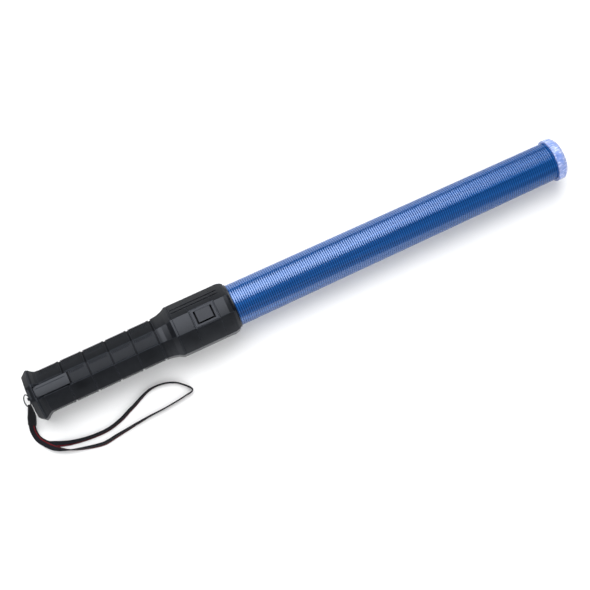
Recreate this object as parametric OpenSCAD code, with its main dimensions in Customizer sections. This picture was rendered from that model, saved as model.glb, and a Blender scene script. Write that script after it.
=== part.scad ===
// LED traffic baton: eight-sided grip and switch housing, tapered light tube, tip cap and wrist strap.
// All sizes are in millimetres. x is measured from the tail cap's end face, z from the baton's axis.

/* [Overall] */
// Tail cap end face to tip
overall_length = 540; // [400:1:600]
// Where the light tube meets the tip cap
tube_end = 528.6; // [400:1:590]

/* [Grip] */
// Half width across the grip's flats
grip_half = 19.3; // [16:0.1:24]
// Half length of the grip's narrow flats
grip_edge = 6.5; // [4:0.1:9]
// Start of the first pad
grip_start = 15.3; // [10:0.1:20]
// Length of one pad with its groove
pad_pitch = 21.9; // [15:0.1:30]
// Number of pads
pad_count = 5; // [3:1:6]
// Groove between pads
pad_gap = 2.0; // [1:0.1:4]
// Depth of the groove between pads
pad_depth = 1.0; // [0.4:0.1:1.4]
// Spacing of the fine ribs
rib_pitch = 1.6; // [1.2:0.1:3]
// Depth of the fine ribs
rib_depth = 0.5; // [0.2:0.05:0.8]

/* [Housing] */
// Half width across the housing's flats
housing_half = 23.7; // [20:0.1:28]
// Half length of the housing's narrow flats
housing_edge = 8; // [5:0.1:11]
// Start of the full-width housing
housing_start = 140.3; // [130:0.1:160]
// Front end of the housing
housing_end = 197.6; // [180:0.1:230]
// Radius inside the housing
housing_bore = 20.5; // [18:0.1:22]

/* [Switch] */
// Middle of the button along the baton
button_x = 170.5; // [160:0.1:180]
// Button length
button_length = 14.2; // [10:0.1:18]
// Button width
button_width = 10.6; // [8:0.1:14]
// Button travel
button_travel = 1.2; // [0.5:0.1:2]
// Frame length around the button
bezel_length = 24; // [20:0.1:28]
// Frame width around the button
bezel_width = 17.5; // [14:0.1:20]

/* [Light tube] */
// Outer radius at the housing
tube_base_radius = 19.8; // [15:0.1:22]
// Outer radius at the tip
tube_tip_radius = 18.35; // [14:0.05:22]
// Wall thickness
tube_wall = 1.6; // [1:0.1:3]
// Tip cap radius
tip_radius = 20.4; // [16:0.1:24]

/* [Batteries] */
// C cell radius
cell_radius = 13.1; // [12:0.1:14]
// C cell length with its nub
cell_length = 50; // [45:0.5:62]

/* [Strap] */
// Ring wire centreline radius
ring_radius = 5.6; // [4:0.1:9]
// Ring wire radius
ring_wire = 0.55; // [0.4:0.05:1]
// Angle of the hanging ring from straight down
ring_tilt = 33; // [0:1:90]
// Webbing width
strap_width = 5.5; // [4:0.1:8]
// Webbing thickness
strap_thick = 1.2; // [0.8:0.1:2]

/* [Hidden] */
$fn = 64;
// strap lug, ring and the model's place on the table
lug_hole_x = -1.2;
lug_hole_z = -1.5;
lug_reach = 3.0;
model_start = lug_hole_x - 2 * ring_radius * sin(ring_tilt) - ring_wire;
shift_x = -(overall_length + model_start) / 2;
axis_height = housing_half;
// handle
grip_end = grip_start + pad_count * pad_pitch;
cap_joint = 5.9;
flare_end = 13;
grip_bore = 16;
sleeve_radius = 14.6;
tail_bore = 16;
collar_radius = 20.9;
screw_x = [146, 178];
screw_y = 16.5;
// switch
opening_length = 17.6;
opening_width = 12.4;
button_shift = 0.7;
switch_top = 18.1;
// cells, tube, light board and its spacers
cell_start = 20;
tube_root = 188.2;
tube_flange = 20.3;
board_start = 197;
board_end = 512;
led_count = 9;
led_start = 212;
led_pitch = 36;
spacer_x = [202, 338, 482];
// lock bar
bar_half = 4.9;
bar_end = 38.4;
bar_top = 21.4;
bar_floor = 18.6;
lock_travel = 1.5;

// Wrist strap route: [x, y, lowest edge above the table, turn of the webbing].
// A turn of 0 lies flat on the table and 90 stands on edge.
strap_route = [
    [-8.8, -18.3, 6.8, 0],
    [-10.2, -22, 3.4, 0],
    [-11, -27, 0.6, 0],
    [-9.7, -34, 0.1, 0],
    [-4.8, -40.8, 0.1, 0],
    [0.5, -43.8, 0.1, 5],
    [6, -46.2, 0.1, 22],
    [14.8, -49.2, 0.1, 42],
    [26, -51.5, 0.1, 55],
    [38, -52.8, 0.1, 60],
    [51, -52.6, 0.1, 62],
    [64, -49.5, 0.1, 62],
    [74, -45.4, 0.1, 63],
    [82, -42.2, 0.1, 66],
    [89.5, -38.8, 0.1, 72],
    [98, -35.8, 0.1, 80],
    [107, -35.2, 0.1, 86],
    [116, -36.8, 0.1, 88],
    [124, -40.4, 0.1, 88],
    [129.5, -45.2, 0.1, 88],
    [133.6, -49.6, 0.1, 88],
    [134.4, -51.8, 0.1, 88],
    [133, -53.4, 0.1, 88],
    [127, -54.3, 0.1, 88],
    [118, -55.6, 0.1, 88],
    [103, -57, 0.1, 90],
    [90, -57.6, 0.1, 95],
    [77, -58.8, 0.1, 103],
    [65, -60.2, 0.1, 110],
    [54, -61.4, 0.1, 117],
    [46.5, -62.5, 0.1, 120],
    [40, -62.6, 0.1, 120],
    [29, -60.4, 0.1, 115],
    [15, -56.3, 0.1, 95],
    [5, -51.4, 0.5, 60],
    [-1.5, -46.4, 2, 20],
    [-6.3, -40.6, 2, 0],
    [-10.3, -34, 1.6, 0],
    [-11.5, -27, 2.2, 0],
    [-10.8, -22, 5, 0],
    [-9.2, -18, 8.4, 0]
];

// Moves a piece from the baton's own axis to its place on the table.
module placed() {
    translate([shift_x, 0, axis_height]) children();
}

// A round bar along x.
module rod_x(x0, x1, r0, r1 = -1) {
    translate([x0, 0, 0])
        rotate([0, 90, 0])
            cylinder(h = x1 - x0, r1 = r0, r2 = r1 < 0 ? r0 : r1);
}

// A round tube along x.
module tube_x(x0, x1, outer, inner) {
    difference() {
        rod_x(x0, x1, outer);
        rod_x(x0 - 1, x1 + 1, inner);
    }
}

// A box given by its low and high corners.
module block(low, high) {
    translate(low) cube(high - low);
}

function eight_ring(x, half, edge) = [
    [x, half, -edge], [x, half, edge], [x, edge, half], [x, -edge, half],
    [x, -half, edge], [x, -half, -edge], [x, -edge, -half], [x, edge, -half]
];

// Closes a row of point rings, each with the same number of points, into one solid.
module skin(rings) {
    n = len(rings[0]);
    count = len(rings);
    points = [for (ring = rings) for (p = ring) p];
    sides = [
        for (k = [0 : count - 2])
            for (i = [0 : n - 1])
                [k * n + i, (k + 1) * n + i, (k + 1) * n + (i + 1) % n, k * n + (i + 1) % n]
    ];
    first_cap = [[for (i = [0 : n - 1]) i]];
    last_cap = [[for (i = [n - 1 : -1 : 0]) (count - 1) * n + i]];
    polyhedron(points = points, faces = concat(first_cap, sides, last_cap), convexity = 10);
}

// An eight-sided length of the body, straight or tapered.
module eight_sided(x0, half0, edge0, x1, half1, edge1) {
    skin([eight_ring(x0, half0, edge0), eight_ring(x1, half1, edge1)]);
}

function unit(v) = v / norm(v);

function coil_ring(x, turn, coil_radius, wire, pitch, sides) =
    let (
        out = [0, cos(turn), sin(turn)],
        along = unit([pitch / 360 * 180 / PI, -coil_radius * sin(turn), coil_radius * cos(turn)]),
        side = cross(along, out),
        centre = [x, 0, 0] + coil_radius * out
    )
    [for (i = [0 : sides - 1]) centre + wire * (cos(i * 360 / sides) * out + sin(i * 360 / sides) * side)];

// A wire coil around x, starting at x0. The first and last turns lie flat.
module coil_x(x0, x1, coil_radius, wire, turns) {
    steps = turns * 16;
    pitch = (x1 - x0 - 2 * wire) / turns;
    skin([
        for (k = [0 : steps])
            coil_ring(x0 + wire + pitch * k / 16, k * 360 / 16, coil_radius, wire, pitch, 6)
    ]);
}

// The outside of the two handle halves before they are split.
module handle_outside() {
    eight_sided(cap_joint + 0.2, 23.6, 8, 8, 22.7, 7.7);
    eight_sided(8, 22.7, 7.7, 10.2, 20.8, 7.0);
    eight_sided(10.2, 20.8, 7.0, flare_end, grip_half, grip_edge);
    eight_sided(flare_end, grip_half, grip_edge, grip_end, grip_half, grip_edge);
    eight_sided(grip_end, grip_half, grip_edge, 131, 20.0, 6.7);
    eight_sided(131, 20.0, 6.7, 136, 21.4, 7.2);
    eight_sided(136, 21.4, 7.2, housing_start, housing_half, housing_edge);
    eight_sided(housing_start, housing_half, housing_edge, 192, housing_half, housing_edge);
    eight_sided(192, housing_half, housing_edge, 195.4, 22.8, 8.2);
    eight_sided(195.4, 22.8, 8.2, housing_end, 21.2, 8.3);
}

// The space inside the handle.
module handle_inside() {
    rod_x(0, 16, tail_bore);
    rod_x(16, 128, grip_bore);
    rod_x(128, housing_start, grip_bore, housing_bore);
    rod_x(housing_start, 191.5, housing_bore);
    rod_x(191, 205, 20.05);
}

// A shallow ring cut round the outside.
module ring_cut(x0, x1, half, edge) {
    difference() {
        eight_sided(x0, 30, 12, x1, 30, 12);
        eight_sided(x0 - 1, half, edge, x1 + 1, half, edge);
    }
}

// The valleys of the fine ribs for one pad, cut across a flat of the given width.
module rib_valleys(pad_start, low, high) {
    count = floor((pad_pitch - pad_gap - 1) / rib_pitch);
    for (i = [0 : count - 1])
        block([pad_start + 0.9 + i * rib_pitch, low, -rib_depth], [pad_start + 1.7 + i * rib_pitch, high, 2]);
}

// Fine ribs on the side flats and on the outer half of one pair of slanting flats.
module grip_ribs() {
    slant = (grip_half + grip_edge) / sqrt(2);
    half_slant = (grip_half - grip_edge) / sqrt(2);
    for (pad = [0 : pad_count - 1], side = [0, 180]) {
        pad_start = grip_start + pad * pad_pitch;
        rotate([side, 0, 0]) {
            rotate([90, 0, 0])
                translate([0, 0, grip_half])
                    rib_valleys(pad_start, -grip_edge - 0.1, grip_edge + 0.1);
            rotate([-45, 0, 0])
                translate([0, 0, slant])
                    rib_valleys(pad_start, 0.5, half_slant + 0.1);
            translate([0, 0, grip_half])
                rib_valleys(pad_start, 2.9, 5.3);
        }
    }
}

// Long lines that mark the edges of the grip's upper and lower flats.
module grip_lines() {
    for (side = [0, 180], y = [-6.2, 5.5])
        rotate([side, 0, 0])
            block([grip_start, y, grip_half - 0.4], [grip_end, y + 0.6, 30]);
}

// Two shallow channels along the middle of one pair of slanting flats of the housing.
module housing_lines() {
    slant = (housing_half + housing_edge) / sqrt(2);
    for (side = [-45, 135], offset_y = [-3.0, 1.6])
        rotate([side, 0, 0])
            translate([143.6, offset_y, slant - 0.6])
                cube([46.4, 1.4, 2]);
}

// The groove after one pad, deep all round except on the two plain slanting flats.
// There it is only a faint line.
module pad_groove(x1) {
    x0 = x1 - pad_gap;
    plain = (grip_half - grip_edge) / sqrt(2) - 0.3;
    difference() {
        ring_cut(x0, x1, grip_half - pad_depth, grip_edge - pad_depth / 2);
        for (side = [45, 225])
            rotate([side, 0, 0])
                block([x0 - 1, -plain, 10], [x1 + 1, plain, 45]);
    }
    ring_cut(x0 + 0.6, x1 - 0.6, grip_half - 0.25, grip_edge - 0.1);
}

module handle_cuts() {
    for (pad = [1 : pad_count])
        pad_groove(grip_start + pad * pad_pitch);
    grip_ribs();
    grip_lines();
    housing_lines();
    ring_cut(142, 142.6, housing_half - 0.35, housing_edge - 0.15);
    for (x = [button_x - bezel_length / 2, button_x + bezel_length / 2])
        ring_cut(x - 0.25, x + 0.25, housing_half - 0.3, housing_edge - 0.12);
    // channel, foot slot and spring pocket of the lock bar
    block([cap_joint, -bar_half - 0.2, bar_floor], [bar_end + lock_travel + 0.2, bar_half + 0.2, 30]);
    block([9.8, -3.1, 17.3], [38.3, 3.1, 30]);
    // opening for the button frame
    block(
        [button_x - bezel_length / 2 - 0.3, -bezel_width / 2 - 0.3, 12],
        [button_x + bezel_length / 2 + 0.3, bezel_width / 2 + 0.3, 40]
    );
}

module screw_bosses() {
    for (x = screw_x, y = [-screw_y, screw_y])
        translate([x, y, -14]) cylinder(h = 26, r = 3);
}

module screw_holes() {
    for (x = screw_x, y = [-screw_y, screw_y]) {
        translate([x, y, -30]) cylinder(h = 21, r = 2.4);
        translate([x, y, -10]) cylinder(h = 17, r = 1.3);
    }
}

// Both halves of the handle as one solid.
module handle() {
    difference() {
        union() {
            difference() {
                handle_outside();
                handle_inside();
            }
            intersection() {
                screw_bosses();
                rod_x(housing_start, 190, housing_bore + 0.5);
            }
        }
        handle_cuts();
        screw_holes();
    }
}

module grip_shell_upper() {
    color("#24262a")
        placed()
            intersection() {
                handle();
                block([0, -40, 0], [housing_end + 5, 40, 40]);
            }
}

module grip_shell_lower() {
    color("#24262a")
        placed()
            intersection() {
                handle();
                block([0, -40, -40], [housing_end + 5, 40, 0]);
            }
}

module shell_screws() {
    color("#9a9da2")
        placed()
            for (x = screw_x, y = [-screw_y, screw_y])
                translate([x, y, 0]) {
                    difference() {
                        translate([0, 0, -11]) cylinder(h = 2, r = 2.2);
                        translate([-2, -0.3, -12]) cube([4, 0.6, 1.6]);
                        translate([-0.3, -2, -12]) cube([0.6, 4, 1.6]);
                    }
                    translate([0, 0, -9]) cylinder(h = 15, r = 1.2);
                }
}

module tube_collar() {
    color("#17181a")
        placed()
            tube_x(housing_end + 0.1, housing_end + 1.4, collar_radius, 20.0);
}

module tube_seal() {
    color("#33363a")
        placed()
            tube_x(186, 188.1, tube_flange, 15.5);
}

module light_tube() {
    inner_base = tube_base_radius - tube_wall;
    inner_tip = tube_tip_radius - tube_wall;
    color("#2f6fd0", 0.6)
        placed()
            difference() {
                union() {
                    rod_x(tube_root, 191, tube_flange);
                    rod_x(tube_root, tube_end, tube_base_radius, tube_tip_radius);
                }
                rod_x(tube_root - 0.5, tube_end + 0.5, inner_base, inner_tip);
            }
}

module inner_diffuser() {
    color("#e8eefc", 0.6)
        placed()
            tube_x(192, 518, 13, 12);
}

module diffuser_ring() {
    color("#dfe6f5")
        placed()
            tube_x(508, 511, 16.5, 13.05);
}

module base_reflector() {
    color("#d5d9de")
        placed()
            difference() {
                union() {
                    rod_x(183, 185.9, 20.2);
                    rod_x(185.9, 191.9, 15.2, 13.5);
                    rod_x(185.9, 196.5, 11.7);
                }
                for (y = [-5, 5])
                    translate([0, y, 0]) rod_x(182, 198, 1.4);
            }
}

module led_board() {
    color("#e6e8ea")
        placed()
            block([board_start, -5, -0.8], [board_end, 5, 0.8]);
}

module leds() {
    color("#5f9bff", 0.8)
        placed()
            for (i = [0 : led_count - 1], side = [0, 180])
                rotate([side, 0, 0])
                    translate([led_start + i * led_pitch, 0, 0.8]) {
                        cylinder(h = 1, r = 2.9);
                        cylinder(h = 6.1, r = 2.5);
                        translate([0, 0, 6.1]) sphere(r = 2.5);
                    }
}

module board_resistors() {
    color("#b89a63")
        placed()
            for (i = [0 : led_count - 1])
                translate([led_start + i * led_pitch + 7, 0, 2])
                    rod_x(0, 6, 1.1);
}

module board_spacers() {
    color("#f2f4f7")
        placed()
            for (x = spacer_x)
                difference() {
                    rod_x(x - 1, x + 1, 11.9);
                    block([x - 3, -5.05, -0.85], [x + 3, 5.05, 0.85]);
                    for (z = [-7, 7])
                        translate([0, 0, z]) rod_x(x - 3, x + 3, 3.4);
                }
}

module tip_cap() {
    color("#a9c0f5", 0.6)
        placed()
            difference() {
                union() {
                    rod_x(521, tube_end, 16.4);
                    rod_x(tube_end, 535.5, tip_radius);
                    rod_x(535.5, 538.5, tip_radius, 17.6);
                    rod_x(538.5, overall_length, 17.6, 13.5);
                }
                rod_x(520, 536.5, 14.4);
            }
}

// The clear faceted prism inside the tip, which spreads the light.
module tip_prism() {
    color("#cfdcff", 0.5)
        placed()
            translate([524, 0, 0])
                rotate([0, 90, 0])
                    difference() {
                        cylinder(h = 12, r1 = 14.2, r2 = 9.5, $fn = 12);
                        translate([0, 0, -0.1]) cylinder(h = 7, r1 = 11, r2 = 2, $fn = 12);
                    }
}

module battery_sleeve() {
    color("#3a3d42")
        placed()
            tube_x(17, 121.6, sleeve_radius, cell_radius + 0.4);
}

// One C cell with its nub towards the tip.
module cell(x0) {
    rod_x(x0, x0 + cell_length - 1.7, cell_radius);
    rod_x(x0 + cell_length - 1.8, x0 + cell_length, 2.75);
}

module battery_cell_rear() {
    color("#3c6a4a")
        placed()
            cell(cell_start);
}

module battery_cell_front() {
    color("#3c6a4a")
        placed()
            cell(cell_start + cell_length + 0.1);
}

module front_bulkhead() {
    color("#2b2d31")
        placed()
            difference() {
                rod_x(121.7, 125, 15.9);
                rod_x(121, 122.6, 12.2);
                for (z = [-8, 8])
                    translate([0, 0, z]) rod_x(120, 126, 1.3);
                block([121, -2.8, -16], [126, 2.8, -14.7]);
            }
}

module front_contact_plate() {
    color("#c8a24a")
        placed() {
            rod_x(121.8, 122.5, 12);
            rod_x(120.3, 121.9, 3);
        }
}

module contact_strip() {
    color("#c8a24a")
        placed()
            block([15.6, -2.5, -15.4], [127.5, 2.5, -14.9]);
}

module switch_board() {
    color("#2e6b3f")
        placed()
            block([144, -12, 12], [182, 12, 13.6]);
}

module tact_switch() {
    color("#1b1b1d")
        placed()
            translate([button_x, 0, 0]) {
                block([-3, -3, 13.6], [3, 3, 17.1]);
                translate([0, 0, 17]) cylinder(h = 1, r = 1.75);
            }
}

module driver_components() {
    color("#22303f")
        placed() {
            translate([150, 5, 13.6]) cylinder(h = 4, r = 2.4);
            block([148, -8, 13.6], [156, -3, 15.2]);
            translate([162, -7, 13.6]) cylinder(h = 2.2, r = 1.8);
            block([160, -6, 9.6], [168, 6, 12]);
        }
}

function wire_ring(route, k, radius) =
    let (
        last = len(route) - 1,
        before = unit(route[max(k, 1)] - route[max(k, 1) - 1]),
        after = unit(route[min(k, last - 1) + 1] - route[min(k, last - 1)]),
        along = unit(before + after),
        side = unit(cross(along, [0, 1, 0])),
        out = cross(side, along)
    )
    [for (i = [0 : 11]) route[k] + radius * (cos(30 * i) * out + sin(30 * i) * side)];

// A wire that follows a row of points.
module wire(route, radius) {
    skin([for (k = [0 : len(route) - 1]) wire_ring(route, k, radius)]);
}

module lead_wire_positive() {
    color("#b3261e")
        placed()
            wire([[125.2, 0, 8], [129, 0.1, 8.4], [134, 0.9, 9.4], [140, 2.4, 10.5], [146, 4, 11.2]], 0.7);
}

module lead_wire_negative() {
    color("#16171a")
        placed()
            wire([
                [128.4, 0, -15.0], [133, -1.8, -13.8], [138, -4.6, -10.6], [142, -5.8, -6],
                [147, -6.2, 0.6], [151, -6.2, 6], [155, -6, 11.2]
            ], 0.7);
}

module switch_bezel() {
    color("#1b1c1f")
        placed()
            difference() {
                union() {
                    block(
                        [button_x - bezel_length / 2, -bezel_width / 2, 20.6],
                        [button_x + bezel_length / 2, bezel_width / 2, 24.4]
                    );
                    block(
                        [button_x - bezel_length / 2 + 1, -bezel_width / 2 + 0.8, 24.4],
                        [button_x + bezel_length / 2 - 1, bezel_width / 2 - 0.8, 25]
                    );
                }
                block(
                    [button_x - opening_length / 2, -opening_width / 2, 20],
                    [button_x + opening_length / 2, opening_width / 2, 26]
                );
            }
}

module switch_boot() {
    color("#3b3e42")
        placed()
            translate([button_x, 0, 17.15])
                difference() {
                    cylinder(h = 0.8, r = 2.9);
                    translate([0, 0, -1]) cylinder(h = 3, r = 2.0);
                }
}

module button_cap() {
    flange = 2.5;
    half_x = button_length / 2;
    half_y = button_width / 2;
    color("#3a3c42")
        placed()
            translate([button_x, button_shift, 0]) {
                block([-half_x, -half_y, 20], [half_x, half_y, 24.9]);
                block(
                    [-half_x - flange, -half_y - flange, switch_top + button_travel],
                    [half_x + flange, half_y + flange, 20.5]
                );
            }
}

module lock_bar() {
    color("#1d1e21")
        placed()
            difference() {
                union() {
                    block([cap_joint + 0.4, -bar_half, bar_floor + 0.1], [bar_end, bar_half, bar_top]);
                    block([10, -2.9, 17.4], [28, 2.9, bar_floor + 0.2]);
                }
                block([8, 2.2, bar_top - 0.4], [bar_end - 2, 2.7, bar_top + 1]);
            }
}

module lock_spring() {
    color("#b7babf")
        placed()
            for (k = [0 : 4]) {
                block([28.3 + 2 * k, -2.6, 17.5], [28.9 + 2 * k, 2.6, 18.3]);
                if (k < 4)
                    block(
                        [28.3 + 2 * k, k % 2 == 0 ? 2.0 : -2.6, 17.5],
                        [30.9 + 2 * k, k % 2 == 0 ? 2.6 : -2.0, 18.3]
                    );
            }
}

module bayonet_ring() {
    color("#2b2d31")
        placed()
            tube_x(12.8, 15.2, 15.9, 12.9);
}

module tail_cap() {
    color("#202226")
        placed()
            difference() {
                union() {
                    eight_sided(0, 19.4, 6.5, cap_joint - 0.6, 23.6, 8);
                    eight_sided(cap_joint - 0.6, 23.6, 8, cap_joint, 23.6, 8);
                    rod_x(5, 12.5, 15.9);
                    block([0.8, -bar_half, 15], [cap_joint, bar_half, bar_top]);
                    block([-lug_reach, -1.3, lug_hole_z - 2.1], [1, 1.3, lug_hole_z + 2.1]);
                }
                rod_x(4, 14, 12.6);
                difference() {
                    rod_x(8, 9.8, 17);
                    rod_x(7, 11, 14.6);
                }
                translate([lug_hole_x, 5, lug_hole_z])
                    rotate([90, 0, 0])
                        cylinder(h = 10, r = 0.95);
            }
}

module tail_contact_plate() {
    color("#c8a24a")
        placed()
            rod_x(4.1, 4.9, 12.4);
}

module tail_spring() {
    color("#b7babf")
        placed()
            coil_x(5, 19.9, 5, 0.5, 5);
}

module tail_seal() {
    color("#33363a")
        placed()
            tube_x(8.2, 9.6, 15.94, 14.65);
}

// Turns children from the baton's axes to the ring's own, with the ring's centre at the origin.
module at_ring() {
    translate([lug_hole_x, 0, lug_hole_z])
        rotate([0, ring_tilt, 0])
            translate([0, 0, -ring_radius])
                children();
}

module strap_ring() {
    color("#2a2b2e")
        placed()
            at_ring()
                rotate([0, 90, 0])
                    rotate_extrude($fn = 72)
                        translate([ring_radius, 0]) circle(r = ring_wire, $fn = 24);
}

// A short tapered tab from the ring to the webbing.
module strap_tab() {
    color("#1a1b1d")
        placed()
            difference() {
                hull() {
                    translate([-4.2, -6.2, -6.6])
                        rotate([44, 0, -8])
                            cube([3.4, 3.0, 2.6], center = true);
                    translate([-6.9, -14.2, -13.0])
                        rotate([44, 0, -14])
                            cube([8.0, 3, 2.8], center = true);
                    translate([-9.3, -19.4, -16.2])
                        rotate([40, 0, -12])
                            cube([7.6, 2.2, 3.4], center = true);
                }
                at_ring()
                    rotate([0, 90, 0])
                        rotate_extrude($fn = 72)
                            translate([ring_radius, 0]) circle(r = ring_wire + 0.15, $fn = 24);
            }
}

function strap_rise(p) =
    p[2] + strap_width / 2 * sin(p[3]) + strap_thick / 2 * abs(cos(p[3])) - axis_height;

function strap_point(k) = [strap_route[k][0], strap_route[k][1], strap_rise(strap_route[k])];

function strap_section(k) =
    let (
        last = len(strap_route) - 1,
        along = unit(strap_point(min(k + 1, last)) - strap_point(max(k - 1, 0))),
        level = unit(cross([0, 0, 1], along)),
        upright = cross(along, level),
        turn = strap_route[k][3],
        wide = cos(turn) * level + sin(turn) * upright,
        thin = cross(along, wide),
        w = strap_width / 2,
        t = strap_thick / 2,
        corners = [
            [w, -t * 0.5], [w, t * 0.5], [w * 0.85, t], [-w * 0.85, t],
            [-w, t * 0.5], [-w, -t * 0.5], [-w * 0.85, -t], [w * 0.85, -t]
        ]
    )
    [for (c = corners) strap_point(k) + c[0] * wide + c[1] * thin];

module strap_webbing() {
    color("#141416")
        placed()
            skin([for (k = [0 : len(strap_route) - 1]) strap_section(k)]);
}

grip_shell_upper();
grip_shell_lower();
shell_screws();
tube_collar();
tube_seal();
light_tube();
inner_diffuser();
diffuser_ring();
base_reflector();
led_board();
leds();
board_resistors();
board_spacers();
tip_cap();
tip_prism();
battery_sleeve();
battery_cell_rear();
battery_cell_front();
front_bulkhead();
front_contact_plate();
contact_strip();
switch_board();
tact_switch();
driver_components();
lead_wire_positive();
lead_wire_negative();
switch_bezel();
switch_boot();
button_cap();
lock_bar();
lock_spring();
bayonet_ring();
tail_cap();
tail_contact_plate();
tail_spring();
tail_seal();
strap_ring();
strap_tab();
strap_webbing();
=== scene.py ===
import math

import bmesh
import bpy
from mathutils import Matrix, Vector


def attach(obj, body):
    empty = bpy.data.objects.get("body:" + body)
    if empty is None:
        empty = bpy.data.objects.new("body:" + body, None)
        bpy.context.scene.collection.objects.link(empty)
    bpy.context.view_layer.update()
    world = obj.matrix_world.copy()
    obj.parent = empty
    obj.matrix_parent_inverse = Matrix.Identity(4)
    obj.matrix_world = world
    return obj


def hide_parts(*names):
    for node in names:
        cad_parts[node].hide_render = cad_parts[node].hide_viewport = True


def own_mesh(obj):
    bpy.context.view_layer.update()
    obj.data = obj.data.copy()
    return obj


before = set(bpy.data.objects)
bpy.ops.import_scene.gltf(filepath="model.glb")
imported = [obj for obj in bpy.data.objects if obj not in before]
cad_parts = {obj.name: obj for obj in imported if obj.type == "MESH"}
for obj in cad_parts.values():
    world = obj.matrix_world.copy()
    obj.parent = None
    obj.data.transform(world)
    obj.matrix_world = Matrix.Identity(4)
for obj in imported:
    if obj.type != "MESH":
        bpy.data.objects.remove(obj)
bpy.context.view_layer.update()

# ---------------------------------------------------------------- driving dimensions
MM = 0.001
END_X = -266.075        # row x of the tail cap's end face, mm
AXIS_Z = 23.7           # height of the baton's axis, mm

# light tube: x from the tail cap's end face, mm
TUBE_START, TUBE_END = 188.2, 528.6
TUBE_RADIUS_START, TUBE_RADIUS_END = 19.8, 18.35
TUBE_WALL = 1.6
RIB_FIRST, RIB_PITCH, RIB_DEPTH = 199.6, 2.07, 0.32
RIB_SHAPE = ((0.0, 1.0), (0.3, 0.45), (0.95, 0.0), (1.25, 0.0), (1.8, 0.5))   # x step, share of the depth
GLOSS_FADE_START, GLOSS_FADE_END = 330, 525   # the tube's gloss falls off between these, mm

# the shells are matter behind these lines, x in mm
GRIP_MATT_END = 127.0
CAP_MATT_END = 10.0

# wrist strap
STRAP_WIDTH, STRAP_THICK = 5.5, 1.2
STRAP_WEAVE_LENGTH = 350.0   # length of webbing that one unit of the weave pattern covers, mm
STRAP_WARPS, STRAP_WEFTS = 7, 520
RED_THREAD = (0.1, 0.27)     # share of the width that the red thread takes, from one edge

# folded tab between the ring and the webbing: centre points from the wire to the webbing, mm from the axis
TAB_LINE = [Vector((-4.25, -5.6, -6.2)), Vector((-6.8, -14.0, -12.6)), Vector((-9.4, -19.8, -16.3))]
TAB_ACROSS = Vector((0.972, -0.235, 0.0))
TAB_LENGTH = 18.4
TAB_LAYER = 1.1                       # thickness of one layer
TAB_HALF_GAP = 0.68                   # from the tab's middle to the middle of each layer
TAB_BEND = 1.3                        # radius of the fold round the wire
TAB_PARTING = 0.6                     # how far the layers part again over the webbing
TAB_BEND_FADE = 9                     # how fast the fold closes up behind the wire
TAB_STEPS, TAB_BEND_STEPS = 16, 8

# flat spring behind the lock bar, built at one length here; the real one shortens as the bar slides forward
SPRING_FIRST, SPRING_PITCH, SPRING_BARS = 28.6, 2.0, 5
SPRING_Z, SPRING_END = 17.9, 37.0
SPRING_REACH = 2.4                    # half the width that the end bars reach
SPRING_STRAIGHT = 1.3                 # half the straight length of a bar
SPRING_SECTION = (
    (-0.3, -0.3), (-0.2, -0.4), (0.2, -0.4), (0.3, -0.3), (0.3, 0.3), (0.2, 0.4), (-0.2, 0.4), (-0.3, 0.3),
)


def at(x, y, z):
    """A point given from the tail cap's end face and the baton's axis, in mm, as a row point in metres."""
    return Vector(((END_X + x) * MM, y * MM, (AXIS_Z + z) * MM))


def row_x(x):
    """The row x in metres of a place given in mm from the tail cap's end face."""
    return (END_X + x) * MM


# ---------------------------------------------------------------- camera
CAMERA_PLACE = (-0.16927, -0.16475, 1.19596)
CAMERA_RIGHT = Vector((0.90065, -0.42943, 0.06653))
CAMERA_BACK = Vector((-0.13254, -0.12566, 0.98318))
LENS_MM, SENSOR_MM = 79.32, 36.0


def make_camera():
    back = CAMERA_BACK.normalized()
    right = (CAMERA_RIGHT - back * CAMERA_RIGHT.dot(back)).normalized()
    up = back.cross(right)
    data = bpy.data.cameras.new("camera")
    data.lens = LENS_MM
    data.sensor_width = SENSOR_MM
    data.clip_start = 0.05
    data.clip_end = 20.0
    camera = bpy.data.objects.new("camera", data)
    bpy.context.scene.collection.objects.link(camera)
    camera.matrix_world = Matrix((
        (right.x, up.x, back.x, CAMERA_PLACE[0]),
        (right.y, up.y, back.y, CAMERA_PLACE[1]),
        (right.z, up.z, back.z, CAMERA_PLACE[2]),
        (0, 0, 0, 1),
    ))
    bpy.context.scene.camera = camera


make_camera()


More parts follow.
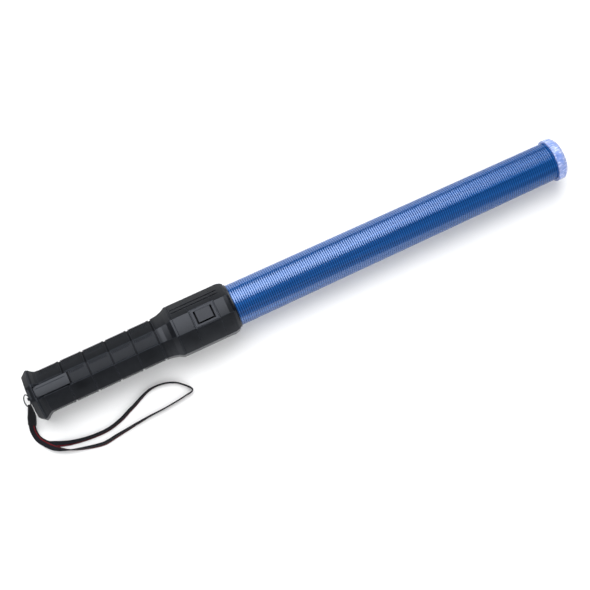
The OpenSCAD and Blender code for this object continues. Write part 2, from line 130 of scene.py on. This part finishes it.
# ---------------------------------------------------------------- node helpers
class Nodes:
    """A small builder for one material's node tree."""

    def __init__(self, name):
        self.mat = bpy.data.materials.new(name)
        self.mat.use_nodes = True
        self.tree = self.mat.node_tree
        self.tree.nodes.clear()
        self.out = self.tree.nodes.new("ShaderNodeOutputMaterial")
        places = self.tree.nodes.new("ShaderNodeTexCoord").outputs
        self.coord, self.uv, self.facing = places["Object"], places["UV"], places["Normal"]

    def put(self, socket, value):
        """Links a socket to another one, or sets its value."""
        if isinstance(value, bpy.types.NodeSocket):
            self.tree.links.new(value, socket)
        elif value is not None:
            socket.default_value = value

    def add(self, kind, **inputs):
        """A new node, with its inputs named with _ for a space."""
        node = self.tree.nodes.new(kind)
        for key, value in inputs.items():
            self.put(node.inputs[key.replace("_", " ")], value)
        return node

    def parts(self, vector):
        """The x, y and z outputs of a vector."""
        return self.add("ShaderNodeSeparateXYZ", Vector=vector).outputs

    def scaled(self, scale):
        return self.add("ShaderNodeMapping", Vector=self.coord, Scale=scale).outputs["Vector"]

    def noise(self, scale, detail=3.0, rough=0.55, vector=None):
        node = self.add(
            "ShaderNodeTexNoise", Vector=vector or self.coord, Scale=scale, Detail=detail, Roughness=rough
        )
        return node.outputs["Fac"]

    def spread(self, value, low, high, start=0.0, end=1.0):
        """A value stretched so that low gives start and high gives end, and held there beyond them."""
        node = self.add(
            "ShaderNodeMapRange", Value=value, From_Min=low, From_Max=high, To_Min=start, To_Max=end
        )
        return node.outputs["Result"]

    def mix(self, factor, a, b):
        """Colour a where factor is 0, b where it is 1."""
        node = self.tree.nodes.new("ShaderNodeMix")
        node.data_type = "RGBA"
        self.put(node.inputs["Factor"], factor)
        ends = [s for s in node.inputs if s.type == "RGBA"]
        for socket, value in zip(ends, (a, b)):
            self.put(socket, (*value, 1.0) if isinstance(value, tuple) and len(value) == 3 else value)
        return [s for s in node.outputs if s.type == "RGBA"][0]

    def math(self, kind, a, b=None):
        node = self.tree.nodes.new("ShaderNodeMath")
        node.operation = kind
        self.put(node.inputs[0], a)
        self.put(node.inputs[1], b)
        return node.outputs[0]

    def vector_math(self, kind, *inputs):
        node = self.tree.nodes.new("ShaderNodeVectorMath")
        node.operation = kind
        for socket, value in zip(node.inputs, inputs):
            self.put(socket, value)
        return node.outputs["Value" if kind == "DOT_PRODUCT" else "Vector"]

    def wave(self, value, turns):
        """A sine with this many turns for each unit of value."""
        return self.math("SINE", self.math("MULTIPLY", value, 2 * math.pi * turns))

    def between(self, value, low, high):
        """1 where value lies between low and high, else 0."""
        above = self.math("GREATER_THAN", value, low)
        return self.math("MULTIPLY", above, self.math("LESS_THAN", value, high))

    def bump(self, height, distance, strength=1.0, normal=None):
        node = self.add("ShaderNodeBump", Strength=strength, Distance=distance, Height=height, Normal=normal)
        return node.outputs["Normal"]

    def soft_edges(self, radius):
        """A normal that rounds the hard edges of a moulded piece."""
        node = self.add("ShaderNodeBevel", Radius=radius)
        node.samples = 4
        return node.outputs["Normal"]

    def crowned(self, amount, radius):
        """Flats that bulge a little: a normal part way from the face's own to straight out from the axis."""
        own = self.soft_edges(radius)
        away = self.vector_math("SUBTRACT", self.coord, (0.0, 0.0, AXIS_Z * MM))
        away = self.vector_math("MULTIPLY", away, (0.0, 1.0, 1.0))
        turn = self.tree.nodes.new("ShaderNodeVectorTransform")
        turn.vector_type, turn.convert_from, turn.convert_to = "VECTOR", "OBJECT", "WORLD"
        self.put(turn.inputs[0], away)
        lean = self.parts(own)[0]
        upright = self.math("SQRT", self.math("SUBTRACT", 1.0, self.math("MULTIPLY", lean, lean)))
        scale = self.tree.nodes.new("ShaderNodeVectorMath")
        scale.operation = "SCALE"
        self.put(scale.inputs[0], self.vector_math("NORMALIZE", turn.outputs[0]))
        self.put(scale.inputs["Scale"], upright)
        lean_only = self.add("ShaderNodeCombineXYZ", X=lean).outputs[0]
        outward = self.vector_math("ADD", scale.outputs[0], lean_only)
        blend = self.tree.nodes.new("ShaderNodeMix")
        blend.data_type = "VECTOR"
        blend.inputs["Factor"].default_value = amount
        ends = [s for s in blend.inputs if s.type == "VECTOR" and s.name in ("A", "B")]
        self.put(ends[0], own)
        self.put(ends[1], outward)
        return self.vector_math("NORMALIZE", [s for s in blend.outputs if s.type == "VECTOR"][0])

    def edge_highlight_mask(self, radius):
        """1 on the edges of a piece, 0 on its faces: the mask of a painted edge highlight."""
        flat = self.tree.nodes.new("ShaderNodeNewGeometry").outputs["True Normal"]
        same = self.vector_math("DOT_PRODUCT", self.soft_edges(radius), flat)
        return self.spread(same, 0.995, 0.93)

    def groove_shade_mask(self, reach):
        """Near 0 in grooves and corners, 1 on open faces: an occlusion mask for painted shade."""
        node = self.add("ShaderNodeAmbientOcclusion", Distance=reach)
        node.samples = 6
        return self.spread(node.outputs["AO"], 0.5, 0.85)

    def far_side(self, least):
        """1 on faces that point up or to the near side, and least on those that slant to the far side."""
        return self.spread(self.parts(self.facing)[1], 0.25, 0.6, 1.0, least)

    def surface(self, shader):
        self.put(self.out.inputs["Surface"], shader)
        return self.mat

    def principled(self, **inputs):
        """Ends the tree with a Principled surface, and gives the material."""
        return self.surface(self.add("ShaderNodeBsdfPrincipled", **inputs).outputs["BSDF"])

    def mix_shader(self, factor, a, b):
        node = self.add("ShaderNodeMixShader", Fac=factor)
        self.put(node.inputs[1], a)
        self.put(node.inputs[2], b)
        return node.outputs["Shader"]


# ---------------------------------------------------------------- kinds of material
# The first colour below is a painted highlight along edges, the second is painted shade in grooves and
# corners.
EDGE_HIGHLIGHT_COLOUR = (0.07, 0.08, 0.1)
GROOVE_SHADE_COLOUR = (0.001, 0.001, 0.0015)
COOL_GLOSS = (0.86, 0.9, 1.0, 1.0)


def scuffed(colour):
    """The paler tone of a scuff on a plastic of this colour."""
    return tuple(min(1.0, c * 2.4 + 0.006) for c in colour)


def moulded(name, dark, light, rough=(0.3, 0.42), dust=0.2, crown=0.0, reach=0.0, matt_end=None):
    """Moulded plastic: cloudy tone, fine grain, faint scuffs along the part and a little dust.

    reach, in metres, darkens grooves that are closer than that with painted shade and brightens the edges with
    a painted highlight.
    The surface is matter up to matt_end, an x in mm from the tail cap's end face."""
    edge, grain, scratch = 0.0004, 0.00002, 0.00003
    n = Nodes(name)
    cloud = n.noise(60.0, 4.0)
    tone = n.mix(n.spread(cloud, 0.3, 0.7), dark, light)
    scuff = n.noise(1.0, 6.0, 0.7, n.scaled((60.0, 900.0, 900.0)))
    worn = n.spread(scuff, 0.62, 0.78, 0.0, dust)
    colour = n.mix(worn, tone, scuffed(light))
    roughness = n.spread(n.math("ADD", cloud, n.math("MULTIPLY", worn, 0.8)), 0.3, 1.0, *rough)
    base = n.crowned(crown, edge) if crown else n.soft_edges(edge)
    normal = n.bump(n.noise(2600.0, 2.0, 0.5), grain, 0.6, n.bump(scuff, scratch, 0.35, base))
    specular = 0.42
    if reach:
        unshaded_share = n.groove_shade_mask(reach)
        # painted highlight: the edges are lightened towards a paler colour
        colour = n.mix(n.math("MULTIPLY", n.edge_highlight_mask(edge), 0.7), colour, EDGE_HIGHLIGHT_COLOUR)
        # painted shade: grooves and corners found by occlusion are darkened, and lose most of their gloss
        colour = n.mix(unshaded_share, GROOVE_SHADE_COLOUR, colour)
        specular = n.math("MULTIPLY", n.spread(unshaded_share, 0.0, 1.0, 0.02, 0.4), n.far_side(0.3))
    if matt_end is not None:
        x = n.parts(n.coord)[0]
        first, last = row_x(matt_end - 1), row_x(matt_end + 1)
        specular = n.math("MULTIPLY", specular, n.spread(x, first, last, 0.55, 1.0))
        roughness = n.math("ADD", roughness, n.spread(x, first, last, 0.06, 0.0))
    return n.principled(
        Base_Color=colour, Roughness=roughness, Normal=normal, IOR=1.5, Specular_IOR_Level=specular,
        Specular_Tint=COOL_GLOSS,
    )


def metal(name, dark, light, rough=(0.2, 0.4)):
    """Drawn or plated metal with fine lines and faint tarnish."""
    n = Nodes(name)
    lines = n.noise(1.0, 3.0, 0.6, n.scaled((300.0, 2600.0, 2600.0)))
    colour = n.mix(n.spread(n.noise(180.0, 4.0), 0.35, 0.7), light, dark)
    normal = n.bump(lines, 0.00001, 0.5)
    return n.principled(
        Base_Color=colour, Metallic=1.0, Roughness=n.spread(lines, 0.3, 0.7, *rough), Normal=normal
    )


def rubber(name, dark, light):
    """Soft rubber: cloudy tone under a fine matt speckle."""
    n = Nodes(name)
    speck = n.noise(1800.0, 2.0)
    colour = n.mix(n.spread(n.noise(220.0, 4.0), 0.35, 0.65), dark, light)
    return n.principled(
        Base_Color=colour, Roughness=n.spread(speck, 0.3, 0.7, 0.45, 0.7), Normal=n.bump(speck, 0.00003, 0.5)
    )


def clear(name, tint, rough, weight=1.0):
    """Clear moulded plastic with a slight haze and fine flow marks."""
    n = Nodes(name)
    flow = n.noise(1.0, 3.0, 0.5, n.scaled((120.0, 400.0, 400.0)))
    haze = n.noise(500.0, 3.0)
    colour = n.mix(n.spread(haze, 0.3, 0.7, 0.0, 0.25), tint, (0.95, 0.97, 1.0))
    return n.principled(
        Base_Color=colour, Roughness=n.spread(haze, 0.3, 0.7, rough, rough + 0.1),
        Transmission_Weight=weight, IOR=1.49, Normal=n.bump(flow, 0.00006, 0.6),
    )


def frosted(name):
    """Pale blue moulded lens: part clear, part milky, with small facets that catch the light."""
    n = Nodes(name)
    cells = n.add("ShaderNodeTexVoronoi", Vector=n.coord, Scale=420.0).outputs["Distance"]
    haze = n.noise(260.0, 4.0)
    streak = n.noise(1.0, 3.0, 0.6, n.scaled((200.0, 700.0, 700.0)))
    colour = n.mix(n.spread(haze, 0.35, 0.65), (0.2, 0.33, 0.78), (0.46, 0.55, 0.9))
    colour = n.mix(n.spread(streak, 0.55, 0.7, 0.0, 0.8), colour, (0.85, 0.88, 0.98))
    return n.principled(
        Base_Color=colour, Roughness=n.spread(haze, 0.3, 0.7, 0.08, 0.2), IOR=1.45,
        Transmission_Weight=n.spread(streak, 0.35, 0.65, 0.5, 0.2), Normal=n.bump(cells, 0.0003, 0.7),
    )


def light_tube_material():
    """Blue ribbed tube: tinted see-through plastic, mixed with its own body colour and a gloss, with painted
    shade in the rib valleys.
    """
    n = Nodes("blue_tube_look")
    x = n.parts(n.coord)[0]
    turns = n.math("DIVIDE", n.math("SUBTRACT", x, row_x(RIB_FIRST)), RIB_PITCH * MM)
    ribs = n.math("COSINE", n.math("MULTIPLY", turns, 2 * math.pi))
    # painted shade: the body colour and the gloss colour are darker in the valleys between the ribs
    rib_valley_shade = n.spread(ribs, -0.2, 0.9)
    streak = n.noise(1.0, 4.0, 0.6, n.scaled((5.0, 420.0, 420.0)))
    body = n.mix(n.spread(streak, 0.35, 0.68), (0.003, 0.06, 0.23), (0.012, 0.105, 0.37))
    body = n.mix(n.spread(n.noise(14.0, 3.0), 0.35, 0.7, 0.0, 0.35), body, (0.006, 0.075, 0.27))
    body = n.mix(n.math("MULTIPLY", rib_valley_shade, 0.9), body, (0.001, 0.022, 0.10))
    fine = n.noise(1500.0, 2.0)
    normal = n.bump(fine, 0.00003, 0.3)
    plastic = n.add(
        "ShaderNodeBsdfPrincipled", Base_Color=body, Roughness=n.spread(fine, 0.3, 0.7, 0.14, 0.24), IOR=1.3,
        Specular_Tint=(0.45, 0.65, 1.0, 1.0), Normal=normal,
    ).outputs["BSDF"]
    tint = n.mix(n.spread(streak, 0.3, 0.7), (0.01, 0.14, 0.55), (0.03, 0.22, 0.72))
    see_through = n.add("ShaderNodeBsdfTransparent", Color=tint).outputs["BSDF"]
    gloss = n.add(
        "ShaderNodeBsdfGlossy", Color=n.mix(rib_valley_shade, (0.56, 0.68, 1.0), (0.10, 0.22, 0.52)),
        Roughness=n.spread(fine, 0.3, 0.7, 0.1, 0.17), Normal=normal,
    ).outputs["BSDF"]
    inner = n.mix_shader(n.spread(streak, 0.3, 0.7, 0.7, 0.88), see_through, plastic)
    gloss_share = n.spread(x, row_x(GLOSS_FADE_START), row_x(GLOSS_FADE_END), 0.17, 0.06)
    return n.surface(n.mix_shader(gloss_share, inner, gloss))


def webbing_material():
    """Woven strap: fine cross weave along the ribbon's own coordinates, with a red thread near one edge."""
    n = Nodes("strap_webbing_look")
    along, across = n.parts(n.uv)[:2]
    crossing = n.math("MULTIPLY", n.wave(across, STRAP_WARPS), n.wave(along, STRAP_WEFTS))
    weave = n.math("MULTIPLY", n.math("ADD", crossing, 1.0), 0.5)
    fuzz = n.noise(3000.0, 2.0)
    tone = n.mix(weave, (0.003, 0.003, 0.005), (0.014, 0.015, 0.019))
    red = n.mix(weave, (0.06, 0.003, 0.005), (0.18, 0.008, 0.014))
    colour = n.mix(n.between(across, *RED_THREAD), tone, red)
    height = n.math("ADD", weave, n.math("MULTIPLY", fuzz, 0.5))
    return n.principled(
        Base_Color=colour, Roughness=n.spread(fuzz, 0.3, 0.7, 0.75, 0.95), Normal=n.bump(height, 0.00015, 0.7),
        Sheen_Weight=0.05, Sheen_Roughness=0.5, Specular_IOR_Level=0.15,
    )


def leather_material():
    """Dark leather with a fine grain and a line of thread along each edge.

    The tab's own coordinates are mm along the strip and mm in from its nearer edge."""
    n = Nodes("folded_tab_look")
    along, inset = n.parts(n.uv)[:2]
    stitch = 1.7   # length of a stitch and its gap, mm
    dash = n.math("GREATER_THAN", n.wave(along, 1 / stitch), -0.4)
    thread = n.math("MULTIPLY", n.between(inset, 0.65, 1.05), dash)
    grain = n.noise(1400.0, 4.0)
    tone = n.mix(n.spread(grain, 0.35, 0.65), (0.003, 0.003, 0.004), (0.011, 0.011, 0.013))
    colour = n.mix(thread, tone, n.mix(grain, (0.02, 0.02, 0.023), (0.05, 0.05, 0.055)))
    height = n.math("ADD", grain, n.math("MULTIPLY", thread, 1.5))
    return n.principled(
        Base_Color=colour, Roughness=n.spread(grain, 0.3, 0.7, 0.5, 0.72), Normal=n.bump(height, 0.00012, 0.6),
        Specular_IOR_Level=0.22,
    )


# ---------------------------------------------------------------- mesh helpers
def mesh_object(name, verts, faces, uvs=None, smooth=True):
    mesh = bpy.data.meshes.new(name)
    mesh.from_pydata([tuple(v) for v in verts], [], faces)
    if uvs is not None:
        layer = mesh.uv_layers.new(name="UVMap")
        for loop in mesh.loops:
            layer.data[loop.index].uv = uvs[loop.vertex_index]
    mesh.validate()
    for poly in mesh.polygons:
        poly.use_smooth = smooth
    obj = bpy.data.objects.new(name, mesh)
    bpy.context.scene.collection.objects.link(obj)
    return obj


def band(first, second, count):
    """The faces between two rings of points whose first points have these indices."""
    faces = []
    for k in range(count):
        m = (k + 1) % count
        faces.append((first + k, second + k, second + m, first + m))
    return faces


def turned(name, profile, segments=96):
    """A closed mesh turned round the baton's axis from (x, radius) pairs in mm, in order."""
    angles = [2 * math.pi * k / segments for k in range(segments)]
    verts = [at(x, r * math.cos(a), r * math.sin(a)) for x, r in profile for a in angles]
    faces = []
    for i in range(len(profile)):
        faces += band(i * segments, (i + 1) % len(profile) * segments, segments)
    return mesh_object(name, verts, faces)


def loft(name, rings, uvs=None):
    """A closed skin over rings of points, all with the same count, with a flat face at each end."""
    count, last = len(rings[0]), len(rings) - 1
    faces = [tuple(reversed(range(count))), tuple(last * count + k for k in range(count))]
    for i in range(last):
        faces += band(i * count, (i + 1) * count, count)
    obj = mesh_object(name, [point for ring in rings for point in ring], faces, uvs)
    work = bmesh.new()
    work.from_mesh(obj.data)
    bmesh.ops.recalc_face_normals(work, faces=work.faces)
    work.to_mesh(obj.data)
    work.free()
    return obj


def step_at(line, i):
    """The step from the point before i to the point after it."""
    return line[min(i + 1, len(line) - 1)] - line[max(i - 1, 0)]


# ---------------------------------------------------------------- wrist strap
# x from the tail cap's end face, y, height of the webbing's low side over the table, all mm; turn in degrees
STRAP_ROUTE = [
    (-8.8, -18.3, 6.8, 0), (-10.2, -22, 3.4, 0), (-11, -27, 0.6, 0), (-9.7, -34, 0.1, 0),
    (-4.8, -40.8, 0.1, 0), (0.5, -43.8, 0.1, 5), (6, -46.2, 0.1, 22), (14.8, -49.2, 0.1, 42),
    (26, -51.5, 0.1, 55), (38, -52.8, 0.1, 60), (51, -52.6, 0.1, 62), (64, -49.5, 0.1, 62),
    (74, -45.4, 0.1, 63), (82, -42.2, 0.1, 66), (89.5, -38.8, 0.1, 72), (98, -35.8, 0.1, 80),
    (107, -35.2, 0.1, 86), (116, -36.8, 0.1, 88), (124, -40.4, 0.1, 88), (129.5, -45.2, 0.1, 88),
    (133.6, -49.6, 0.1, 88), (134.4, -51.8, 0.1, 88), (133, -53.4, 0.1, 88), (127, -54.3, 0.1, 88),
    (118, -55.6, 0.1, 88), (103, -57, 0.1, 90), (90, -57.6, 0.1, 95), (77, -58.8, 0.1, 103),
    (65, -60.2, 0.1, 110), (54, -61.4, 0.1, 117), (46.5, -62.5, 0.1, 120), (40, -62.6, 0.1, 120),
    (29, -60.4, 0.1, 115), (15, -56.3, 0.1, 95), (5, -51.4, 0.5, 60), (-1.5, -46.4, 2, 20),
    (-6.3, -40.6, 2, 0), (-10.3, -34, 1.6, 0), (-11.5, -27, 2.2, 0), (-10.8, -22, 5, 0),
    (-9.2, -18, 8.4, 0),
]
STRAP_SMOOTHING = 6   # points on the smooth line for each point of the route
# one side of the webbing's section, from edge to edge: shares of half the width and half the thickness
STRAP_SIDE = ((-0.94, 0.8), (-0.6, 1), (-0.2, 1), (0.2, 1), (0.6, 1), (0.94, 0.8))
STRAP_SECTION = [(-1, 0), *STRAP_SIDE, (1, 0), *((u, -v) for u, v in reversed(STRAP_SIDE))]


def smooth_route(route, steps):
    """Catmull-Rom points through the route, each with its turn."""
    out = []
    last = len(route) - 1
    for i in range(last):
        p0, p1, p2, p3 = (Vector(route[max(0, min(last, i + k))]) for k in (-1, 0, 1, 2))
        for s in range(steps):
            t = s / steps
            out.append(0.5 * (2 * p1 + (p2 - p0) * t + (2 * p0 - 5 * p1 + 4 * p2 - p3) * t * t
                              + (3 * p1 - p0 - 3 * p2 + p3) * t * t * t))
    out.append(Vector(route[last]))
    return out


def strap_points():
    """Centre points in mm over the table and turn in degrees, already smoothed."""
    raised = []
    for x, y, low, turn in STRAP_ROUTE:
        a = math.radians(turn)
        z = low + STRAP_WIDTH / 2 * math.sin(a) + STRAP_THICK / 2 * abs(math.cos(a))
        raised.append((x, y, z, turn))
    return smooth_route(raised, STRAP_SMOOTHING)


def make_strap():
    """The webbing, its centre line in metres and its length in metres."""
    points = strap_points()
    centres = [Vector((END_X + p[0], p[1], p[2])) for p in points]
    section = [(u * STRAP_WIDTH / 2, v * STRAP_THICK / 2) for u, v in STRAP_SECTION]
    rings, uvs, run = [], [], 0.0
    for i, centre in enumerate(centres):
        along = step_at(centres, i).normalized()
        level = Vector((0, 0, 1)).cross(along).normalized()
        upright = along.cross(level)
        turn = math.radians(points[i][3])
        wide = level * math.cos(turn) + upright * math.sin(turn)
        thin = along.cross(wide)
        run += (centre - centres[max(i - 1, 0)]).length
        rings.append([(centre + wide * across + thin * high) * MM for across, high in section])
        uvs += [(run / STRAP_WEAVE_LENGTH, across / STRAP_WIDTH + 0.5) for across, _ in section]
    return loft("strap_ribbon", rings, uvs), [tuple(c * MM) for c in centres], run * MM


# ---------------------------------------------------------------- folded tab
def tab_centre(a):
    """A point on the tab's middle line and its direction, a share of the way from wire to webbing."""
    p, q, r = TAB_LINE
    place = p * (1 - a) * (1 - 2 * a) + q * 4 * a * (1 - a) + r * a * (2 * a - 1)
    slope = p * (4 * a - 3) + q * (4 - 8 * a) + r * (4 * a - 1)
    return place, slope.normalized()


def tab_width(a):
    """Narrow at the wire, wide from half way, and drawn in a little at the end."""
    return 3.3 + 4.6 * min(1.0, a / 0.5) ** 0.8 - 0.5 * max(0.0, a - 0.6)


def tab_offset(a):
    """How far each layer lies from the tab's middle line."""
    return TAB_HALF_GAP + TAB_PARTING * a * a + (TAB_BEND - TAB_HALF_GAP) * math.exp(-a * TAB_BEND_FADE)


def tab_fold():
    """The strip's line in to the wire and out again: (share of the way from the wire, mm off the middle)."""
    shares = [k / TAB_STEPS for k in range(1, TAB_STEPS + 2)]
    turns = [math.pi * k / TAB_BEND_STEPS for k in range(TAB_BEND_STEPS + 1)]
    upper = [(a, tab_offset(a)) for a in reversed(shares)]
    bend = [(-TAB_BEND * math.sin(t) / TAB_LENGTH, TAB_BEND * math.cos(t)) for t in turns]
    lower = [(a, -tab_offset(a)) for a in shares]
    return upper + bend + lower


def rounded_section(points):
    """A flat section of width 1 and thickness 1 with rounded corners."""
    section = []
    for k in range(points):
        turn = 2 * math.pi * k / points
        c, s = math.cos(turn), math.sin(turn)
        section.append((math.copysign(abs(c) ** 0.45, c) * 0.5, math.copysign(abs(s) ** 0.7, s) * 0.5))
    return section


def make_tab():
    """One strip of leather that goes round the ring's wire and comes back over the webbing's ends."""
    line = tab_fold()
    centres = []
    for a, off in line:
        place, along = tab_centre(max(a, 0.0))
        thin = along.cross(TAB_ACROSS).normalized()
        centres.append(place + along * min(a, 0.0) * TAB_LENGTH + thin * off)
    section = rounded_section(20)
    rings, uvs, run = [], [], 0.0
    for i, centre in enumerate(centres):
        along = step_at(centres, i).normalized()
        wide = (TAB_ACROSS - along * TAB_ACROSS.dot(along)).normalized()
        thin = along.cross(wide)
        run += (centre - centres[max(i - 1, 0)]).length
        width = tab_width(max(line[i][0], 0.0))
        rings.append([at(*(centre + wide * u * width + thin * v * TAB_LAYER)) for u, v in section])
        uvs += [(run, (0.5 - abs(u)) * width) for u, _ in section]
    return loft("folded_tab", rings, uvs)


# ---------------------------------------------------------------- lock spring
def make_lock_spring():
    """A serpentine of flat wire with round bends, in the same place as the CAD spring."""
    line = [Vector((SPRING_FIRST, -SPRING_REACH))]
    for k in range(SPRING_BARS - 1):
        side = 1 if k % 2 == 0 else -1
        for step in range(9):
            turn = math.pi * step / 8
            x = SPRING_FIRST + SPRING_PITCH * (k + 0.5 - 0.5 * math.cos(turn))
            line.append(Vector((x, side * (SPRING_STRAIGHT + math.sin(turn)))))
    line.append(Vector((SPRING_FIRST + SPRING_PITCH * (SPRING_BARS - 1), SPRING_REACH)))
    rings = []
    for i, place in enumerate(line):
        along = step_at(line, i).normalized()
        rings.append([
            at(place.x - along.y * u, place.y + along.x * u, SPRING_Z + v) for u, v in SPRING_SECTION
        ])
    return loft("lock_spring_wire", rings)


# ---------------------------------------------------------------- light tube
def tube_radius(x):
    share = (x - TUBE_START) / (TUBE_END - TUBE_START)
    return TUBE_RADIUS_START + (TUBE_RADIUS_END - TUBE_RADIUS_START) * share


def make_tube():
    """The light tube with its turned ribs, from the housing to the tip cap."""
    first, last = RIB_FIRST, TUBE_END - 0.6
    outer = [(x, tube_radius(x)) for x in (TUBE_START, first - 0.4)]
    for i in range(int((last - first) / RIB_PITCH)):
        x = first + i * RIB_PITCH
        outer += [(x + step, tube_radius(x) - share * RIB_DEPTH) for step, share in RIB_SHAPE]
    outer.append((last + 0.3, tube_radius(last)))
    outer.append((TUBE_END, tube_radius(TUBE_END) - 0.1))
    inner = [(x, tube_radius(x) - TUBE_WALL) for x in (TUBE_END, TUBE_START)]
    return turned("ribbed_tube", outer + inner)


# ---------------------------------------------------------------- own pieces
tab = make_tab()
tab.data.materials.append(leather_material())
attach(tab, "strap")
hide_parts("strap_tab")

strap, strap_path, strap_length = make_strap()
strap.data.materials.append(webbing_material())
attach(strap, "strap")
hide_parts("strap_webbing")

lock_wire = make_lock_spring()
lock_wire.data.materials.append(metal("lock_spring_look", (0.35, 0.35, 0.36), (0.62, 0.63, 0.65)))
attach(lock_wire, "handle")
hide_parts("lock_spring")
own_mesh(lock_wire)

tube = make_tube()
tube.data.materials.append(light_tube_material())
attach(tube, "handle")
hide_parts("light_tube")


# ---------------------------------------------------------------- materials of the CAD nodes
BLACK = ((0.003, 0.0035, 0.0045), (0.008, 0.009, 0.011))
GROOVE_REACH, CAP_GROOVE_REACH = 0.002, 0.0025

black = moulded(
    "black_shell_look", *BLACK, dust=0.12, crown=0.22, reach=GROOVE_REACH, matt_end=GRIP_MATT_END
)
cap_black = moulded(
    "cap_black_look", *BLACK, dust=0.12, crown=0.2, reach=CAP_GROOVE_REACH, matt_end=CAP_MATT_END
)
deep_black = moulded("deep_black_look", (0.002, 0.002, 0.003), (0.005, 0.006, 0.007), dust=0.05)
bezel = moulded("bezel_look", (0.006, 0.007, 0.009), (0.013, 0.014, 0.018), dust=0.1, reach=GROOVE_REACH)
lock = moulded(
    "lock_look", (0.003, 0.004, 0.005), (0.008, 0.009, 0.011), dust=0.1, crown=0.4, reach=GROOVE_REACH
)
button = moulded(
    "button_look", (0.010, 0.011, 0.013), (0.022, 0.023, 0.027), (0.42, 0.55), dust=0.3, reach=GROOVE_REACH
)
inner_black = moulded("inner_black_look", (0.012, 0.012, 0.014), (0.022, 0.023, 0.026), dust=0.05)
white = moulded("white_plastic_look", (0.7, 0.72, 0.78), (0.82, 0.84, 0.88), dust=0.05)
board = moulded("board_white_look", (0.62, 0.64, 0.66), (0.74, 0.75, 0.77), dust=0.1)
green = moulded("board_green_look", (0.02, 0.12, 0.045), (0.035, 0.17, 0.065), dust=0.05)
wrap = moulded("cell_wrap_look", (0.03, 0.16, 0.075), (0.05, 0.22, 0.1), (0.2, 0.32))
tan = moulded("resistor_look", (0.32, 0.2, 0.08), (0.46, 0.3, 0.13), (0.2, 0.35))
dark_part = moulded("component_look", (0.015, 0.022, 0.035), (0.03, 0.04, 0.055), (0.2, 0.35))
red_wire = moulded("wire_red_look", (0.3, 0.012, 0.01), (0.42, 0.02, 0.018), (0.25, 0.4))
ring_wire = moulded("ring_look", (0.004, 0.004, 0.006), (0.012, 0.012, 0.014), (0.25, 0.45))
steel = metal("steel_look", (0.35, 0.35, 0.36), (0.62, 0.63, 0.65))
brass = metal("brass_look", (0.45, 0.3, 0.1), (0.72, 0.52, 0.22))
silver = metal("silver_look", (0.6, 0.62, 0.65), (0.85, 0.87, 0.9), (0.12, 0.25))
grey_rubber = rubber("grey_rubber_look", (0.025, 0.026, 0.028), (0.05, 0.05, 0.055))
tip = frosted("tip_look")
prism = clear("prism_look", (0.7, 0.78, 1.0), 0.02)
led = clear("led_look", (0.35, 0.52, 1.0), 0.05)
milk = clear("diffuser_look", (0.72, 0.78, 0.95), 0.4, 0.45)

LOOKS = {
    "grip_shell_upper": black, "grip_shell_lower": black, "shell_screws": steel, "tube_collar": deep_black,
    "tube_seal": grey_rubber, "inner_diffuser": milk, "diffuser_ring": white, "base_reflector": silver,
    "led_board": board, "leds": led, "board_resistors": tan, "board_spacers": white, "tip_cap": tip,
    "tip_prism": prism, "battery_sleeve": inner_black, "battery_cell_rear": wrap, "battery_cell_front": wrap,
    "front_bulkhead": inner_black, "front_contact_plate": brass, "contact_strip": brass, "switch_board": green,
    "tact_switch": inner_black, "driver_components": dark_part, "lead_wire_positive": red_wire,
    "lead_wire_negative": deep_black, "switch_bezel": bezel, "switch_boot": grey_rubber, "button_cap": button,
    "lock_bar": lock, "bayonet_ring": inner_black, "tail_cap": cap_black, "tail_contact_plate": brass,
    "tail_spring": steel, "tail_seal": grey_rubber, "strap_ring": ring_wire,
}
for node, look in LOOKS.items():
    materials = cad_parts[node].data.materials
    materials.clear()
    materials.append(look)


# ---------------------------------------------------------------- stage and light
FLOOR_HALF = 6.0   # metres


def floor_material():
    n = Nodes("floor_look")
    fine = n.noise(300.0, 3.0)
    colour = n.mix(n.spread(n.noise(3.0, 4.0), 0.35, 0.65), (0.86, 0.865, 0.87), (0.9, 0.9, 0.905))
    return n.principled(
        Base_Color=colour, Roughness=n.spread(fine, 0.3, 0.7, 0.55, 0.7), Normal=n.bump(fine, 0.00005, 0.2)
    )


def make_floor():
    corners = [(x * FLOOR_HALF, y * FLOOR_HALF, 0) for x, y in ((-1, -1), (1, -1), (1, 1), (-1, 1))]
    obj = mesh_object("floor", corners, [(0, 1, 2, 3)], smooth=False)
    obj.data.materials.append(floor_material())


def softbox(name, place, aim, size, power, roll=0.0, in_reflections=True):
    """A rectangular lamp at a place in metres, turned towards aim and rolled by so many degrees."""
    data = bpy.data.lights.new(name, "AREA")
    data.shape = "RECTANGLE"
    data.size, data.size_y = size
    data.energy = power
    obj = bpy.data.objects.new(name, data)
    bpy.context.scene.collection.objects.link(obj)
    obj.location = place
    towards = (Vector(aim) - Vector(place)).to_track_quat("-Z", "Y").to_matrix()
    obj.rotation_euler = (towards @ Matrix.Rotation(math.radians(roll), 3, "Z")).to_euler()
    obj.visible_glossy = in_reflections


def make_world():
    world = bpy.data.worlds.new("world")
    bpy.context.scene.world = world
    world.use_nodes = True
    sky = world.node_tree.nodes["Background"].inputs
    sky["Color"].default_value = (0.9, 0.94, 1.0, 1.0)
    sky["Strength"].default_value = 0.09


make_floor()
softbox("key_far", (-0.12, 0.84, 1.17), (-0.12, 0.04, 0.02), (2.0, 1.8), 46.0, roll=34.0)
softbox("fill_near", (0.0, -1.4, 0.55), (0.0, 0.0, 0.02), (2.4, 1.0), 1.6)
softbox("fill_floor", (0.0, -1.1, 1.2), (0.0, 0.0, 0.0), (2.4, 1.6), 24.0, in_reflections=False)
make_world()
bpy.context.scene.view_settings.view_transform = "Standard"
